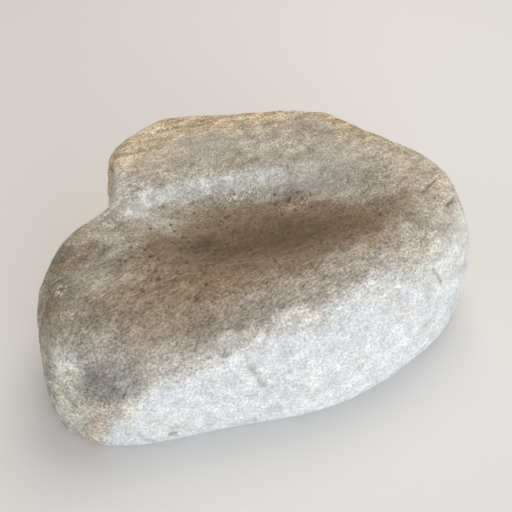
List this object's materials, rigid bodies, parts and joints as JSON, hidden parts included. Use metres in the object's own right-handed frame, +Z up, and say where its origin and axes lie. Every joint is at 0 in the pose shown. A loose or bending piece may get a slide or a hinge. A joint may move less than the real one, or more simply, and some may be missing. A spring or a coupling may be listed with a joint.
{
  "type": "saddle quern stone",
  "caption": "Saddle quern: a rough boulder of coarse sandstone with a long shallow grinding dish worn into its top, resting on a flattened underside.",
  "frame": {"origin": "on the ground under the middle of the stone, at the centre of its overall box in X and Y", "axes": "+X along the stone's length, from the end with the narrow far corner's bite to the broad right end; -Y is the near side, which leans out to the ground; +Z up, out of the dish"},
  "size_m": [0.5006, 0.367, 0.162],
  "materials": {
    "sandstone": "rough, gritty and weathered, worn smoother in the dish"
  },
  "bodies": {
    "root": {"quern_stone": "sandstone"}
  },
  "joints": []
}
